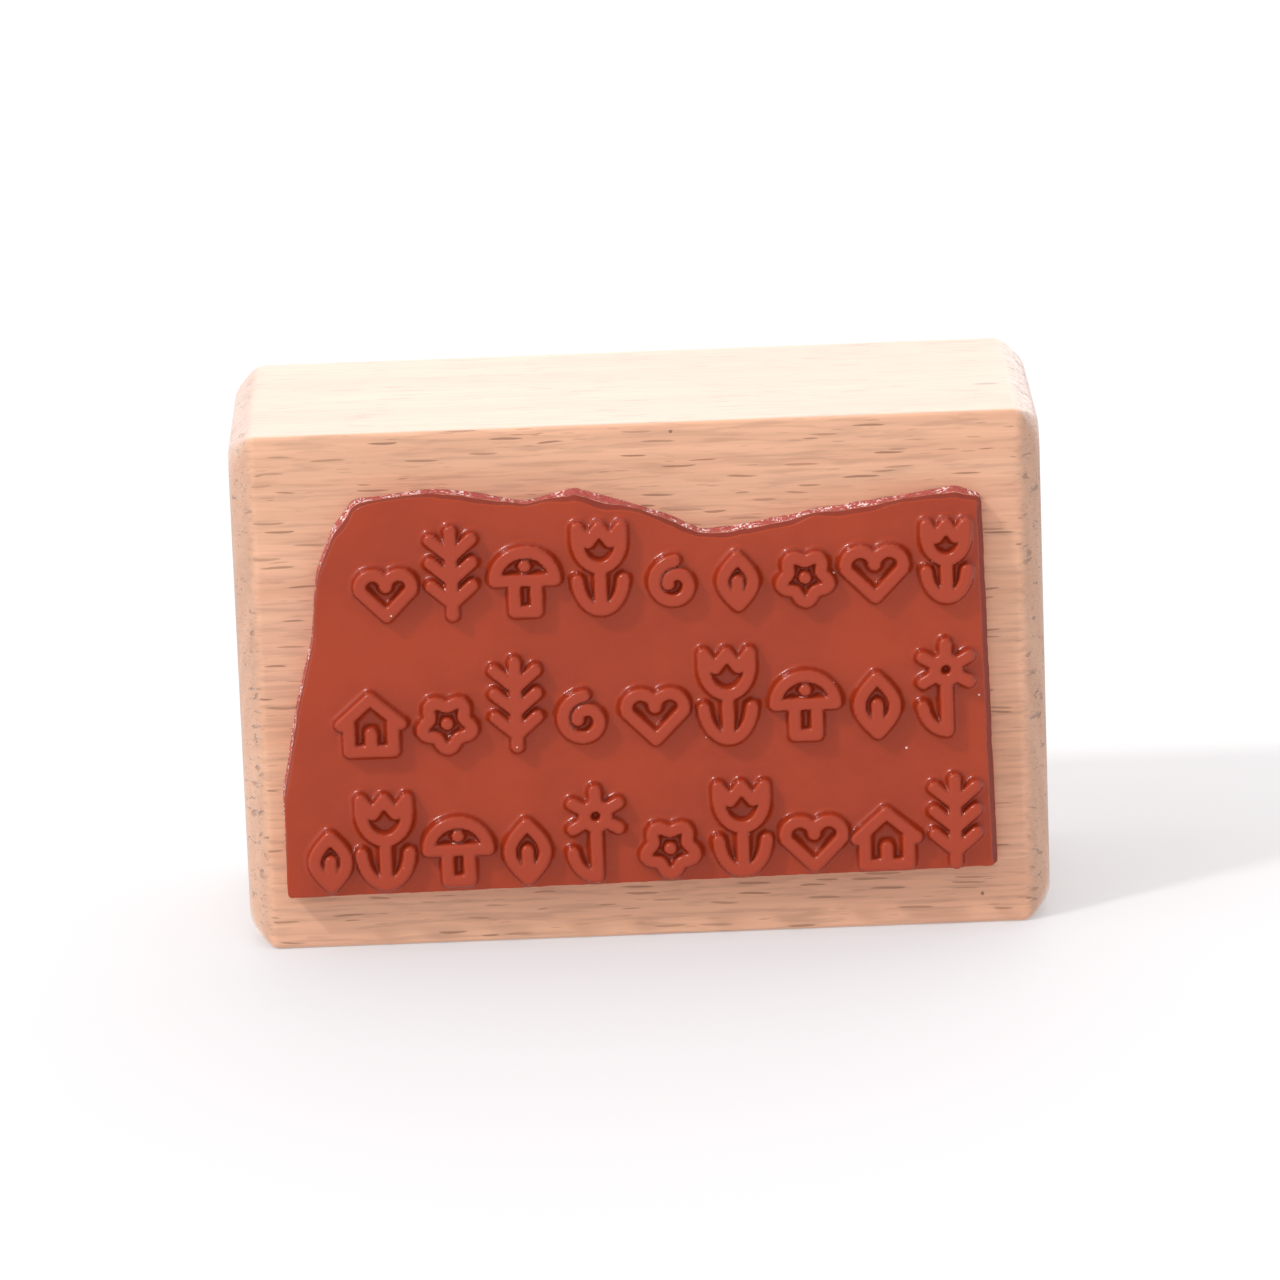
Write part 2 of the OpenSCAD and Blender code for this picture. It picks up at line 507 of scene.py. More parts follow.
@dataclass(frozen=True)
class BeechFinish:
    """Sanded beech, with its grain along X and its ends cut across."""

    half_length: float
    bevel: float
    pale: Colour = (0.690, 0.380, 0.236)
    deep: Colour = (0.618, 0.316, 0.188)
    rose: Colour = (0.655, 0.338, 0.220)
    fleck: Colour = (0.26, 0.115, 0.055)
    end_pale: Colour = (0.555, 0.325, 0.218)
    end_deep: Colour = (0.430, 0.236, 0.150)
    pit: Colour = (0.22, 0.10, 0.055)
    bands: Pattern = Pattern((16.0, 200.0, 200.0), 3.0, 0.6, (0.36, 0.66))
    blush: Pattern = Pattern((26.0, 60.0, 60.0), 1.0, 0.0, (0.4, 0.7), (3.0, 1.0, 7.0))
    fibre: Pattern = Pattern((70.0, 2600.0, 2600.0), 3.0, 0.2)
    streak: Pattern = Pattern((190.0, 2300.0, 2300.0), 2.0, 0.3, (0.47, 0.66), (5.0, 2.0, 0.0))
    long_rays: Flecks = Flecks(7.5 * MM, 0.50 * MM, kept=0.85, seed=2.7)
    short_rays: Flecks = Flecks(3.8 * MM, 0.30 * MM, kept=0.60, seed=9.1)
    spots: tuple[Spot, ...] = (
        Spot((3.2 * MM, -14.0 * MM, 45.2 * MM), (0.20 * MM, 0.5 * MM, 0.16 * MM)),
        Spot((29.0 * MM, -14.0 * MM, 2.7 * MM), (0.18 * MM, 0.5 * MM, 0.20 * MM)),
        Spot((30.9 * MM, -4.0 * MM, 46.0 * MM), (1.35 * MM, 0.36 * MM, 0.5 * MM)),
    )
    tilt: Triple = (math.radians(-12.0), 0.0, 0.0)
    pores: Pattern = Pattern((900.0, 5200.0, 5200.0), span=(0.56, 0.72))
    torn: Pattern = Pattern((420.0, 1500.0, 1500.0), 3.0, 0.5, (0.60, 0.70), (1.0, 4.0, 2.0))
    sheen: float = 0.8

    def long_grain(self, shader: Shader, fibre: Value) -> tuple[Value, Value]:
        """Adds the wood of the long faces.

        Args:
            shader: The tree that it is added to.
            fibre: The finest lines along the grain.

        Returns:
            Its colour and the height of its surface.
        """
        colour = shader.mixed(self.bands.on(shader), self.pale, self.deep)
        colour = shader.mixed(self.blush.on(shader) * 0.45, colour, self.rose)
        streak = self.streak.on(shader)
        lines = fibre * 0.40 - streak * 0.16 + 0.86
        tone = shader.node("ShaderNodeCombineColor", None, {0: lines, 1: lines, 2: lines})
        colour = shader.mixed(1.0, colour, tone.outputs[0], Blend.MULTIPLY)
        rays, darkness = self.long_rays.on(shader)
        small, faintness = self.short_rays.on(shader)
        rays = rays * darkness
        small = small * faintness * 0.5
        colour = shader.mixed(rays.most(small) * 0.8, colour, self.fleck)
        for spot in self.spots:
            colour = shader.mixed(spot.on(shader) * 0.9, colour, self.pit)
        return colour, fibre * 0.35 - streak * 0.20 - rays * 0.9 - small * 0.4

    def end_grain(self, shader: Shader) -> tuple[Value, Value]:
        """Adds the wood that is cut across, with curved rings and open pores.

        Args:
            shader: The tree that it is added to.

        Returns:
            Its colour and the height of its surface.
        """
        curtain = Pattern((60.0, 800.0, 55.0), 3.0, 0.3, (0.3, 0.7), turn=self.tilt).on(shader)
        ring_shift = (4.0, 0.0, 1.0)
        rings = Pattern((20.0, 190.0, 30.0), 1.0, 0.0, (0.35, 0.65), ring_shift, self.tilt).on(shader)
        pores = self.pores.on(shader)
        colour = shader.mixed(curtain * 0.55 + rings * 0.35, self.end_pale, self.end_deep)
        colour = shader.mixed(pores * 0.35, colour, self.end_deep)
        return colour, curtain * 0.5 - pores * 0.5

    def material(self) -> bpy.types.Material:
        """Builds the material.

        Returns:
            The material.
        """
        shader = Shader.begin("beech")
        past = abs(shader.axes()[0])
        start = self.half_length - self.bevel
        at_end = past.rising(self.half_length - 0.35 * MM, self.half_length - 0.1 * MM)
        on_bevel = past.rising(start - 0.5 * MM, start + 0.4 * MM)
        gouge = self.torn.on(shader) * on_bevel * (1.0 - at_end)
        fibre = self.fibre.on(shader)
        side, side_height = self.long_grain(shader, fibre)
        end, end_height = self.end_grain(shader)
        colour = shader.mixed(on_bevel * 0.75, side, end)
        colour = shader.mixed(at_end, colour, end)
        colour = shader.mixed(gouge * 0.55, colour, self.pit)
        along = shader.bumped(side_height, 0.05 * MM, 0.55)
        normal = shader.bumped(end_height * on_bevel - gouge * 1.4, 0.12 * MM, 0.7, along)
        return shader.finish(
            Base_Color=colour,
            Roughness=0.48 + fibre * 0.14 + on_bevel * 0.16,
            Normal=normal,
            Specular_IOR_Level=0.5,
            Sheen_Weight=self.sheen,
            Sheen_Roughness=0.5,
        )


@dataclass(frozen=True)
class RubberFinish:
    """Moulded brick-red rubber with a faint bloom and a few specks of dust."""

    face: float
    top: float
    red: Colour = (0.362, 0.041, 0.0105)
    dull: Colour = (0.326, 0.036, 0.0090)
    bright: Colour = (0.375, 0.046, 0.016)
    # Colour of the painted shade at the foot of the relief.
    shade: Colour = (0.235, 0.020, 0.0065)
    cut: Colour = (0.17, 0.018, 0.012)
    dust: Colour = (0.86, 0.74, 0.66)
    cloud: Pattern = Pattern((150.0, 150.0, 150.0), 3.0, span=(0.3, 0.7))
    bloom: Pattern = Pattern((520.0, 520.0, 520.0), span=(0.42, 0.75), shift=(2.0, 5.0, 1.0))
    grain: Pattern = Pattern((7000.0, 7000.0, 7000.0))
    dust_cells: Triple = (330.0, 330.0, 330.0)
    least_speck: float = 0.025
    more_speck: float = 0.035

    def level(self, share: float) -> float:
        """The place along Y at a share of the relief's height."""
        return self.face + (self.top - self.face) * share

    def material(self) -> bpy.types.Material:
        """Builds the material, darker at the foot of the relief as painted shade, and brighter on its top.

        Returns:
            The material.
        """
        shader = Shader.begin("die_rubber")
        cloud = self.cloud.on(shader)
        bloom = self.bloom.on(shader)
        grain = self.grain.on(shader)
        colour = shader.mixed(cloud, self.red, self.dull)
        colour = shader.mixed(bloom * 0.30, colour, self.bright)
        depth = shader.axes()[1]
        # Painted shade: the low ground round and between the raised strokes is pulled towards the shade
        # colour, standing in for the shade at the foot of the relief.
        foot = depth.rising(self.level(0.06), self.level(0.30))
        summit = depth.rising(self.level(0.55), self.level(0.92))
        wall = depth.rising(self.face + 0.07 * MM, self.face + 0.16 * MM)
        colour = shader.mixed(foot * 0.65, colour, self.shade)
        colour = shader.mixed(summit * 0.85, colour, self.bright)
        colour = shader.mixed(wall * (0.55 + grain * 0.5), colour, self.cut)
        distance, (chosen, size, _) = shader.cells(shader.stretched(self.dust_cells))
        reach = self.least_speck + size * self.more_speck
        speck = (reach - distance).rising(0.0, 0.02) * chosen.rising(0.25, 0.28)
        colour = shader.mixed(speck * 0.8, colour, self.dust)
        skin = shader.bumped(grain, 0.02 * MM, 0.6)
        return shader.finish(
            Base_Color=colour,
            Roughness=0.15 + cloud * 0.04 + bloom * 0.07 + wall * 0.3,
            Normal=shader.bumped(cloud * 0.6 + bloom * 0.4, 0.05 * MM, 0.35, skin),
            Specular_IOR_Level=0.31,
        )


@dataclass(frozen=True)
class CushionFinish:
    """Cut cellular rubber: matt, full of opened cells, with painted shade in their hollows and painted
    pale glints on some of their rims.
    """

    flesh: Colour = (0.42, 0.075, 0.058)
    # Colour of the painted shade inside the open cells.
    hollow_shade: Colour = (0.22, 0.025, 0.018)
    # Colour of the painted glints: pale highlights painted on some open cells.
    rim: Colour = (0.95, 0.78, 0.75)
    bubbles: Triple = (6000.0, 6000.0, 6000.0)
    patch: Pattern = Pattern((700.0, 700.0, 700.0), span=(0.40, 0.62))

    def material(self) -> bpy.types.Material:
        """Builds the material.

        Returns:
            The material.
        """
        shader = Shader.begin("cushion_foam")
        distance, (chosen, _, tone) = shader.cells(shader.stretched(self.bubbles))
        # Painted shade: each open cell is darkened towards its middle, standing in for the shade inside
        # the hollow.
        hole = distance.rising(0.42, 0.18) * (0.4 + tone * 0.6)
        # Painted highlight: a random share of the cells, in patches, is painted pale to stand for glints
        # off the cut cells.
        glint = chosen.rising(0.66, 0.72) * self.patch.on(shader)
        colour = shader.mixed(hole, self.flesh, self.hollow_shade)
        colour = shader.mixed(glint * 0.85, colour, self.rim)
        normal = shader.bumped(distance, 0.10 * MM, 0.8)
        return shader.finish(Base_Color=colour, Roughness=0.62 - glint * 0.25, Normal=normal)


@dataclass(frozen=True)
class AdhesiveFinish:
    """Clear tacky film that has taken up dust and rubber crumbs at its cut edge."""

    clear: Colour = (0.50, 0.24, 0.17)
    soiled: Colour = (0.17, 0.045, 0.03)
    smear: Pattern = Pattern((900.0, 900.0, 900.0), 3.0, span=(0.35, 0.7))

    def material(self) -> bpy.types.Material:
        """Builds the material.

        Returns:
            The material.
        """
        shader = Shader.begin("adhesive_film")
        smear = self.smear.on(shader)
        colour = shader.mixed(smear, self.clear, self.soiled)
        normal = shader.bumped(smear, 0.03 * MM, 0.5)
        return shader.finish(Base_Color=colour, Roughness=0.25 + smear * 0.3, Normal=normal)


@dataclass(frozen=True)
class InkFinish:
    """Black printing ink on wood, thin where the fibres stand up."""

    black: Colour = (0.014, 0.011, 0.012)
    worn: Colour = (0.034, 0.026, 0.024)
    bare: Colour = (0.42, 0.24, 0.16)
    fibre: Pattern = Pattern((260.0, 2600.0, 2600.0), 3.0)
    patch: Pattern = Pattern((700.0, 700.0, 700.0), shift=(7.0, 3.0, 1.0))

    def material(self) -> bpy.types.Material:
        """Builds the material.

        Returns:
            The material.
        """
        shader = Shader.begin("printing_ink")
        fibre = self.fibre.on(shader)
        missed = (fibre * 0.6 + self.patch.on(shader) * 0.4).rising(0.655, 0.70)
        colour = shader.mixed(fibre.rising(0.42, 0.72), self.black, self.worn)
        colour = shader.mixed(missed * 0.8, colour, self.bare)
        return shader.finish(
            Base_Color=colour,
            Roughness=0.52 + fibre * 0.2,
            Normal=shader.bumped(fibre, 0.03 * MM, 0.6),
            Specular_IOR_Level=0.25,
        )


@dataclass(frozen=True)
class PaperFinish:
    """The matt white sweep that the stamp stands on, which glows a little to stay white."""

    white: Colour = (0.45, 0.44, 0.445)
    shade: Colour = (0.44, 0.43, 0.435)
    glow: Colour = (1.0, 0.985, 0.99)
    glow_strength: float = 0.32
    cloud: Pattern = Pattern((6.0, 6.0, 6.0))

    def material(self) -> bpy.types.Material:
        """Builds the material.

        Returns:
            The material.
        """
        shader = Shader.begin("white_sweep")
        return shader.finish(
            Base_Color=shader.mixed(self.cloud.on(shader), self.white, self.shade),
            Roughness=0.9,
            Specular_IOR_Level=0.2,
            Emission_Color=self.glow,
            Emission_Strength=self.glow_strength,
        )


# ---------------------------------------------------------------------------------------------
# Meshes
# ---------------------------------------------------------------------------------------------


def made_piece(
    name: str, points: np.ndarray, faces: list[tuple[int, ...]], sharp: set[tuple[int, int]] = frozenset()
) -> bpy.types.Object:
    """Makes a smooth-shaded object from points and faces.

    Args:
        name: The object's name.
        points: Its corners, one row each.
        faces: Corner numbers, anticlockwise seen from outside.
        sharp: Edges that stay sharp, each as its two corner numbers in order.

    Returns:
        The object, linked to the scene.
    """
    mesh = bpy.data.meshes.new(name)
    mesh.from_pydata([tuple(p) for p in points], [], faces)
    mesh.polygons.foreach_set("use_smooth", [True] * len(mesh.polygons))
    if sharp:
        for edge in mesh.edges:
            if tuple(sorted(edge.vertices)) in sharp:
                edge.use_edge_sharp = True
    mesh.update()
    piece = bpy.data.objects.new(name, mesh)
    bpy.context.scene.collection.objects.link(piece)
    return piece


def ring_edges(first: int, count: int) -> set[tuple[int, int]]:
    """The edges of a closed ring of corners that are numbered in order."""
    return {tuple(sorted((first + i, first + (i + 1) % count))) for i in range(count)}


def ring_faces(first: int, second: int, count: int) -> list[Face]:
    """Makes faces between two closed rings of corners.

    Args:
        first: Number of the first ring's first corner.
        second: Number of the second ring's first corner.
        count: Corners in each ring.

    Returns:
        The faces, the second ring following the first.
    """
    return [
        (first + i, first + (i + 1) % count, second + (i + 1) % count, second + i)
        for i in range(count)
    ]


def wobble(x: float, z: float, scale: float, seed: float) -> float:
    """Smooth noise between about -1 and 1 for a point of a face."""
    return noise.noise(Vector((x * scale, z * scale, seed)))


def flattened(ring: np.ndarray, y: float) -> np.ndarray:
    """A ring of (x, z) points as points in space at one depth."""
    return np.stack([ring[:, 0], np.full(len(ring), y), ring[:, 1]], axis=1)


def cad_outlines(node: str, facing: Facing) -> list[np.ndarray]:
    """The closed outlines of a CAD node's flat face.

    Args:
        node: The node's name.
        facing: The side of the node that is read.

    Returns:
        One array of (x, z) points for each outline, holes included.
    """
    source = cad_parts[node]
    mesh = bmesh.new()
    mesh.from_mesh(source.data)
    mesh.transform(source.matrix_world)
    bmesh.ops.remove_doubles(mesh, verts=mesh.verts, dist=0.002 * MM)
    mesh.normal_update()
    level = max(facing.value * v.co.y for v in mesh.verts)
    flat = {
        f for f in mesh.faces
        if all(abs(facing.value * v.co.y - level) < 0.005 * MM for v in f.verts)
    }
    following: dict[int, int] = {}
    for face in (f for f in mesh.faces if f in flat):
        for loop in face.loops:
            if sum(f in flat for f in loop.edge.link_faces) == 1:
                following[loop.vert.index] = loop.link_loop_next.vert.index
    mesh.verts.ensure_lookup_table()
    outlines = []
    while following:
        start, here = following.popitem()
        chain = [start]
        while here != start:
            chain.append(here)
            here = following.pop(here)
        outlines.append(np.array([(mesh.verts[i].co.x, mesh.verts[i].co.z) for i in chain]))
    mesh.free()
    return outlines


def resampled(line: np.ndarray, count: int) -> np.ndarray:
    """Spreads points evenly along an open line.

    Args:
        line: The line's corners.
        count: How many steps it is cut into.

    Returns:
        count + 1 points, the two ends among them.
    """
    steps = np.linalg.norm(np.diff(line, axis=0), axis=1)
    travelled = np.concatenate([[0.0], np.cumsum(steps)])
    wanted = np.linspace(0.0, travelled[-1], count + 1)
    return np.stack([np.interp(wanted, travelled, line[:, k]) for k in range(2)], axis=1)


def outward(ring: np.ndarray) -> np.ndarray:
    """Finds the outward unit normals of a ring.

    Args:
        ring: A closed anticlockwise ring.

    Returns:
        One normal for each of its points.
    """
    along = np.roll(ring, -1, axis=0) - np.roll(ring, 1, axis=0)
    normal = np.stack([along[:, 1], -along[:, 0]], axis=1)
    return normal / np.linalg.norm(normal, axis=1)[:, None]


def enclosed(ring: np.ndarray) -> float:
    """Area inside a closed ring, above zero when it runs anticlockwise."""
    following = np.roll(ring, -1, axis=0)
    return 0.5 * float(np.sum(ring[:, 0] * following[:, 1] - following[:, 0] * ring[:, 1]))


def holds(ring: np.ndarray, point: np.ndarray) -> bool:
    """Tells whether a point lies inside a ring, by the crossings of a ray along X.

    Args:
        ring: The closed ring.
        point: The point.

    Returns:
        True if it is inside.
    """
    following = np.roll(ring, -1, axis=0)
    spans = (ring[:, 1] > point[1]) != (following[:, 1] > point[1])
    start, end = ring[spans], following[spans]
    share = (point[1] - start[:, 1]) / (end[:, 1] - start[:, 1])
    crossing = start[:, 0] + share * (end[:, 0] - start[:, 0])
    return bool(np.sum(crossing > point[0]) % 2)


def islands(outlines: list[np.ndarray]) -> list[list[np.ndarray]]:
    """Sorts outlines into islands, each an outer ring followed by its own holes.

    Args:
        outlines: Closed rings, whose holes run the other way round.

    Returns:
        One list of rings for each island, the smallest island first.
    """
    way = math.copysign(1.0, enclosed(max(outlines, key=lambda ring: abs(enclosed(ring)))))
    outer = [ring for ring in outlines if way * enclosed(ring) > 0]
    found = [[ring] for ring in sorted(outer, key=lambda ring: abs(enclosed(ring)))]
    for hole in (ring for ring in outlines if way * enclosed(ring) < 0):
        next(island for island in found if holds(island[0], hole[0])).append(hole)
    return found


def smoothed(values: np.ndarray, reach: int) -> np.ndarray:
    """A running mean round a closed ring."""
    return sum(np.roll(values, k, axis=0) for k in range(-reach, reach + 1)) / (2 * reach + 1)


# ---------------------------------------------------------------------------------------------
# Pieces
# ---------------------------------------------------------------------------------------------


def settle(piece: bpy.types.Object, slot: str, *nodes: str) -> None:
    """Makes a finished piece ride on the stamp and stand for its CAD nodes.

    Args:
        piece: The finished piece.
        slot: The record's material slot. It is not used.
        nodes: The CAD nodes that it replaces.
    """
    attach(piece, ROOT)
    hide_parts(*nodes)
    log.info("%s: %d faces", piece.name, len(piece.data.polygons))


@dataclass
class WoodBlock:
    """The solid beech block, rolled over at both ends."""

    node: str = "wood_block"
    slope: float = 0.9
    soften: float = 0.75 * MM
    rim: float = 0.45 * MM
    edge_radius: float = 0.38 * MM
    corner_radius: float = 2.2 * MM
    corner_growth: float = 1.5
    side_step: float = 0.55 * MM
    corner_steps: int = 5
    bevel_cuts: int = 22
    body_cuts: int = 90
    tooth: float = 0.005 * MM
    ripple: float = 0.035 * MM
    ripple_cells: float = 900.0
    seed: float = 4.0

    def __post_init__(self) -> None:
        """Reads the block's sizes from the frame."""
        self.low, self.high = (Vector(corner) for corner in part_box(self.node))
        self.half = (self.high - self.low) / 2
        self.middle = (self.high + self.low) / 2
        places = sorted({round(abs(v.co.x), 6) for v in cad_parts[self.node].data.vertices})
        self.bevel = places[-1] - places[-2]

    def cuts(self) -> list[tuple[float, float]]:
        """Chooses where the block is cut across.

        Returns:
            Each cut's place along X, and how far past the start of a bevel it lies.
        """
        start = self.half.x - self.bevel
        past = list(np.linspace(-self.soften, self.bevel, self.bevel_cuts))
        body = np.linspace(-start + self.soften, start - self.soften, self.body_cuts)[1:-1]
        cuts = [(-start - reach, reach) for reach in reversed(past)]
        cuts += [(x, -self.soften) for x in body]
        return cuts + [(start + reach, reach) for reach in past]

    def inset(self, past: float) -> float:
        """Finds how far the long faces have turned in.

        Args:
            past: Distance past the start of the bevel.

        Returns:
            The inset, which starts softly and ends in a rounded rim.
        """
        if past <= -self.soften:
            return 0.0
        if past < self.soften:
            return self.slope * (past + self.soften) ** 2 / (4 * self.soften)
        rim = max(0.0, past - (self.bevel - self.rim))
        return self.slope * past + rim ** 2 / (2 * self.rim)

    def corner(self, number: int, inset: float, radius: float) -> np.ndarray:
        """One rounded corner of a cross-section.

        Args:
            number: The corner's number, from 0 to 3.
            inset: How far the sides have moved in.
            radius: The corner's radius.

        Returns:
            Its (y, z) points.
        """
        side_y, side_z = ((-1, -1), (-1, 1), (1, 1), (1, -1))[number]
        reach = np.array([self.half.y, self.half.z]) - inset - radius
        centre = np.array([side_y, side_z]) * reach
        turns = math.radians(270 - 90 * number) - np.linspace(0.0, math.pi / 2, self.corner_steps + 1)
        return centre + radius * np.stack([np.cos(turns), np.sin(turns)], axis=1)

    def section(self, inset: float, radius: float) -> np.ndarray:
        """One rounded cross-section, anticlockwise seen from the -X end.

        Args:
            inset: How far its sides have moved in.
            radius: Radius of its corners.

        Returns:
            Its (y, z) points round the middle of the block.
        """
        corners = [self.corner(number, inset, radius) for number in range(4)]
        counts = [round(2 * half / self.side_step) for half in (self.half.z, self.half.y)] * 2
        ring: list[np.ndarray] = []
        for arc, following, count in zip(corners, corners[1:] + corners[:1], counts):
            steps = np.linspace(0, 1, count + 1)[1:-1]
            ring += [*arc, *(arc[-1] + (following[0] - arc[-1]) * step for step in steps)]
        return np.array(ring)

    def cut(self, x: float, past: float) -> np.ndarray:
        """The block's surface at one place along it, with the tooth of sanded wood.

        Args:
            x: The place.
            past: How far past the start of a bevel it lies.

        Returns:
            Its points round the middle of the block.
        """
        turned = max(0.0, min(1.0, (past + self.soften) / (self.bevel + self.soften)))
        growth = (self.corner_radius - self.edge_radius) * turned ** self.corner_growth
        ring = self.section(self.inset(past), self.edge_radius + growth)
        rough = self.tooth + self.ripple * math.sin(math.pi * turned)
        waves = np.array([wobble(y + x * 0.3, z + x * 0.2, self.ripple_cells, self.seed) for y, z in ring])
        pull = 0.6 * rough * (1.0 + waves) * math.copysign(1.0, enclosed(ring))
        ring = ring - outward(ring) * pull[:, None]
        return np.hstack([np.full((len(ring), 1), x), ring])

    def shape(self) -> bpy.types.Object:
        """Builds the block from its cross-sections.

        Returns:
            The block.
        """
        rings = [self.cut(x, past) for x, past in self.cuts()]
        count = len(rings[0])
        last = (len(rings) - 1) * count
        faces: list[Face] = []
        for k in range(len(rings) - 1):
            faces += [face[::-1] for face in ring_faces(k * count, (k + 1) * count, count)]
        faces.append(tuple(range(count)))
        faces.append(tuple(last + i for i in reversed(range(count))))
        points = np.vstack(rings) + np.array(self.middle)
        return made_piece("beech_block", points, faces, ring_edges(0, count) | ring_edges(last, count))

    def build(self) -> None:
        """Builds, dresses and places the block."""
        block = self.shape()
        block.data.materials.append(BeechFinish(self.half.x, self.bevel).material())
        settle(block, "beech", self.node)


@dataclass
class CutOutline:
    """The hand-cut outline that the die and its backing share, as four sides of even points.

    The blade's leans are in millimetres, as a mean and how far it strays from it.
    """

    node: str = "cushion"
    steps: tuple[int, int] = (360, 208)
    sheet: float = 1.0 * MM
    waver: float = 0.10 * MM
    waver_cells: Point = (260.0, 1100.0)
    least_inset: float = 0.02 * MM
    lean_cells: Point = (170.0, 600.0)
    top_lean: Point = (0.40, 0.95)
    left_lean: Point = (0.16, 0.25)
    foot_lean: float = 0.10
    right_lean: float = 0.5
    least_lean: float = 0.05
    seed: float = 11.0

    def __post_init__(self) -> None:
        """Reads the outline from the frame and roughens it as a blade does."""
        even = smoothed(np.vstack(self.sides()), 3)
        slow, fast = self.waver_cells
        shift = np.array([
            self.waver * (wobble(x, z, slow, self.seed) + 0.45 * wobble(x, z, fast, self.seed))
            for x, z in even
        ])
        self.ring = even - outward(even) * (np.abs(shift) + self.least_inset)[:, None]
        self.count = len(self.ring)
        self.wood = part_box("block_adhesive")[1][1]
        self.sheet_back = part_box("rubber_die")[1][1]
        self.face = self.sheet_back - self.sheet

    def sides(self) -> list[np.ndarray]:
        """Cuts the outline at its four corners.

        Returns:
            The even points of the bottom, the right, the top and the left.
        """
        ring = cad_outlines(self.node, Facing.PRINTING)[0]
        if enclosed(ring) < 0:
            ring = ring[::-1]
        corners = [int(np.argmax(ring @ np.array(way))) for way in ((-1, -1), (1, -1), (1, 1), (-1, 1))]
        sides = []
        for k, count in enumerate(self.steps * 2):
            first, last = corners[k], corners[(k + 1) % 4]
            end = last if last > first else last + len(ring)
            line = np.array([ring[i % len(ring)] for i in range(first, end + 1)])
            sides.append(resampled(line, count)[:-1])
        return sides

    def slopes(self) -> tuple[np.ndarray, np.ndarray]:
        """Finds how far the blade leaned in, point by point.

        Returns:
            The lean through the whole stack, and the further lean through the rubber sheet alone.
        """
        normal = outward(self.ring)
        slow, fast = self.lean_cells
        stray = np.array([
            wobble(x, z, slow, self.seed + 3) + 0.5 * wobble(x, z, fast, self.seed + 5)
            for x, z in self.ring
        ])
        top = np.clip(normal[:, 1], 0, 1) * (self.top_lean[0] + self.top_lean[1] * stray)
        left = np.clip(-normal[:, 0], 0, 1) * (self.left_lean[0] + self.left_lean[1] * stray)
        foot = np.clip(-normal[:, 1], 0, 1) * self.foot_lean
        right = np.clip(normal[:, 0], 0, 1) ** 3 * self.right_lean
        whole = smoothed(np.clip(top + left + foot, self.least_lean, 1.0), 5) * MM
        return whole, smoothed(np.clip(right + 0.5 * foot, 0.0, 1.0), 5) * MM

    def inset(self, y: float) -> np.ndarray:
        """The outline at a depth.

        Args:
            y: The place between the wood and the face of the sheet.

        Returns:
            The (x, z) points of the cut there.
        """
        whole, sheet = self.slopes()
        through = (self.wood - y) / (self.wood - self.face)
        beyond = max(0.0, (self.sheet_back - y) / (self.sheet_back - self.face))
        return self.ring - outward(self.ring) * (whole * through + sheet * beyond)[:, None]


@dataclass
class CutLayer:
    """One layer of the stack behind the die, cut with it and closed at both sides."""

    outline: CutOutline
    node: str
    name: str
    rows: int
    tear: float
    seed: float = 1.0
    tear_cells: float = 2400.0
    tear_bias: float = 0.25

    def torn(self, ring: np.ndarray, y: float) -> np.ndarray:
        """Tears small bites from a ring of the wall.

        Args:
            ring: The (x, z) points of the cut.
            y: Their depth.

        Returns:
            The bitten ring.
        """
        cells = self.tear_cells
        places = [Vector((x * cells, y * cells, z * cells + self.seed)) for x, z in ring]
        bite = np.array([self.tear * max(0.0, noise.noise(place) + self.tear_bias) for place in places])
        return ring - outward(ring) * bite[:, None]

    def shape(self) -> bpy.types.Object:
        """Builds the layer's two flat sides and the torn wall between them.

        Returns:
            The layer.
        """
        low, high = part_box(self.node)
        rings = []
        for k in range(self.rows + 1):
            y = high[1] + (low[1] - high[1]) * k / self.rows
            ring = self.outline.inset(y)
            if 0 < k < self.rows:
                ring = self.torn(ring, y)
            rings.append(flattened(ring, y))
        count = self.outline.count
        faces: list[Face] = []
        for k in range(self.rows):
            faces += ring_faces(k * count, (k + 1) * count, count)
        last = self.rows * count
        faces.append(tuple(reversed(range(count))))
        faces.append(tuple(last + i for i in range(count)))
        rims = ring_edges(0, count) | ring_edges(last, count)
        return made_piece(self.name, np.vstack(rings), faces, rims)


